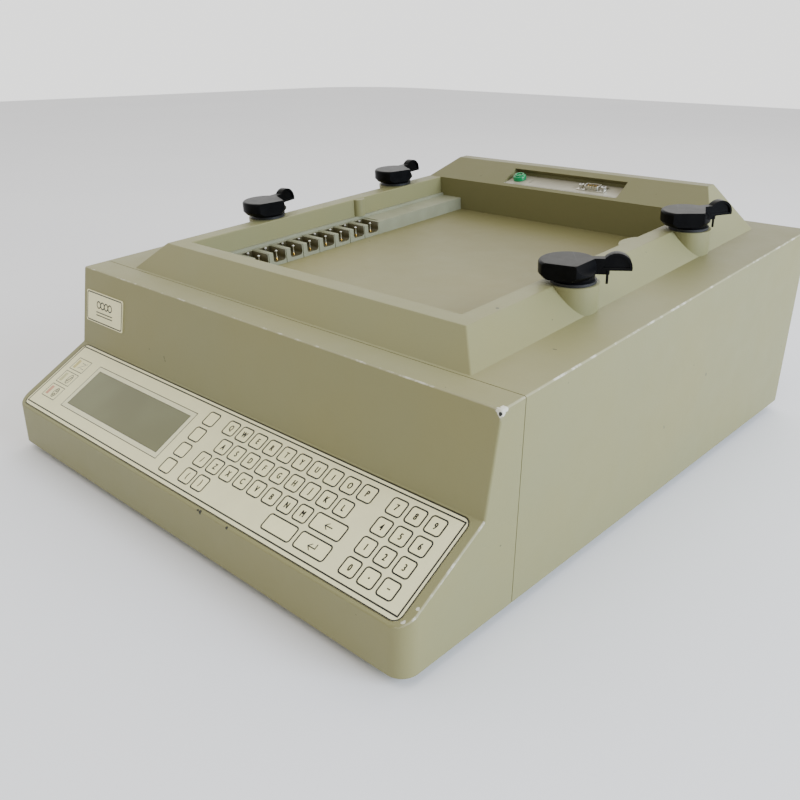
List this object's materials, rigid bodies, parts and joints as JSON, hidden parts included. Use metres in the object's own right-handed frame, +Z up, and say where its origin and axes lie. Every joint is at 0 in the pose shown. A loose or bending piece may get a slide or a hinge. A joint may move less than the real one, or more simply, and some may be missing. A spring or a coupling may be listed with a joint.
{
  "type": "wound component tester",
  "caption": "Bench tester for transformers and coils: low wide case with a film keyboard, display, tilted fixture bay, turning clamp knobs and an interlock panel.",
  "frame": {"origin": "centre of the footprint, on the surface the rubber feet stand on", "axes": "+X to the operator's right, +Y to the rear, +Z up"},
  "size_m": [0.45, 0.542, 0.2106],
  "materials": {
    "aluminium": "extruded or sheet aluminium",
    "badge": "blank printed plate",
    "black_plastic": "black thermoplastic",
    "block": "moulded contact block",
    "board": "glass epoxy circuit board",
    "case_paint": "satin textured paint, grey olive beige",
    "chips": "moulded relay cases",
    "chrome_shell": "tin plated shell",
    "copper_core": "taped toroidal winding",
    "cream_film": "printed polyester film",
    "floor_sheet": "insulating laminate",
    "frame_mould": "structural foam moulding, same beige",
    "gold": "plated contact metal",
    "green": "green insulating plastic",
    "grey_cable": "flat ribbon cable",
    "knob_black": "black moulded nylon",
    "lcd": "reflective liquid crystal cell",
    "lens": "tinted diffusing lens",
    "rubber": "soft rubber",
    "spacer": "plated brass spacer",
    "steel": "zinc plated steel",
    "window": "clear tinted window"
  },
  "bodies": {
    "case": {"amplifier_board": "board", "badge_plate": "badge", "base_pan": "case_paint", "base_screws": "steel", "bay_floor": "floor_sheet", "bay_frame": "frame_mould", "board_spacers": "spacer", "bulkhead": "steel", "clamp_rings": "knob_black", "contact_blocks": "block", "contact_boards": "board", "contact_pins": "gold", "display_board": "board", "display_frame": "black_plastic", "display_glass": "lcd", "display_window": "window", "earth_socket": "green", "earth_socket_sleeve": "gold", "earth_stud": "steel", "fan_guard": "steel", "fan_housing": "black_plastic", "fan_screws": "steel", "front_cover": "case_paint", "heat_sink": "aluminium", "interlock_connector": "chrome_shell", "interlock_jackscrews": "steel", "interlock_panel": "frame_mould", "keypad_overlay": "cream_film", "keypad_switch_sheet": "black_plastic", "ledge_left": "block", "ledge_right": "block", "main_board": "board", "mains_inlet": "black_plastic", "mains_transformer": "copper_core", "power_switch_frame": "black_plastic", "processor_board": "board", "rear_case": "case_paint", "rear_panel": "case_paint", "rear_panel_screws": "steel", "rear_ports": "chrome_shell", "relay_board": "board", "relay_brackets": "steel", "relays": "chips", "ribbon_cables": "grey_cable", "rubber_feet": "rubber", "status_lamps": "lens", "status_lenses": "lens", "supply_board": "board", "transformer_clamp": "steel"},
    "clamp_front_left": {"clamp_knob_front_left": "knob_black", "clamp_spindle_front_left": "steel"},
    "clamp_front_right": {"clamp_knob_front_right": "knob_black", "clamp_spindle_front_right": "steel"},
    "clamp_rear_left": {"clamp_knob_rear_left": "knob_black", "clamp_spindle_rear_left": "steel"},
    "clamp_rear_right": {"clamp_knob_rear_right": "knob_black", "clamp_spindle_rear_right": "steel"},
    "fan": {"fan_rotor": "black_plastic"},
    "rocker": {"power_rocker": "black_plastic"},
    "fuse_tray": {"fuse_drawer": "black_plastic"}
  },
  "joints": [
    {"name": "clamp_front_left_turn", "type": "hinge", "parent": "case", "child": "clamp_front_left", "pos_m": [-0.1659, -0.03438, 0.18043], "axis": [0, -0.0628, 0.998], "range_deg": [-9, 121]},
    {"name": "clamp_front_right_turn", "type": "hinge", "parent": "case", "child": "clamp_front_right", "pos_m": [0.1678, -0.03438, 0.18043], "axis": [0, -0.0628, 0.998], "range_deg": [-103, 27]},
    {"name": "clamp_rear_left_turn", "type": "hinge", "parent": "case", "child": "clamp_rear_left", "pos_m": [-0.1659, 0.14307, 0.1916], "axis": [0, -0.0628, 0.998], "range_deg": [-2, 128]},
    {"name": "clamp_rear_right_turn", "type": "hinge", "parent": "case", "child": "clamp_rear_right", "pos_m": [0.1678, 0.14307, 0.1916], "axis": [0, -0.0628, 0.998], "range_deg": [-127, 3]},
    {"name": "fan_spin", "type": "hinge", "parent": "case", "child": "fan", "pos_m": [0.12, 0.2475, 0.104], "axis": [0, 1, 0], "continuous": true},
    {"name": "power_rocker_press", "type": "hinge", "parent": "case", "child": "rocker", "pos_m": [-0.104, 0.259, 0.056], "axis": [1, 0, 0], "range_deg": [0, 18]},
    {"name": "fuse_drawer_slide", "type": "slide", "parent": "case", "child": "fuse_tray", "axis": [0, 1, 0], "range_m": [0, 0.02]}
  ]
}
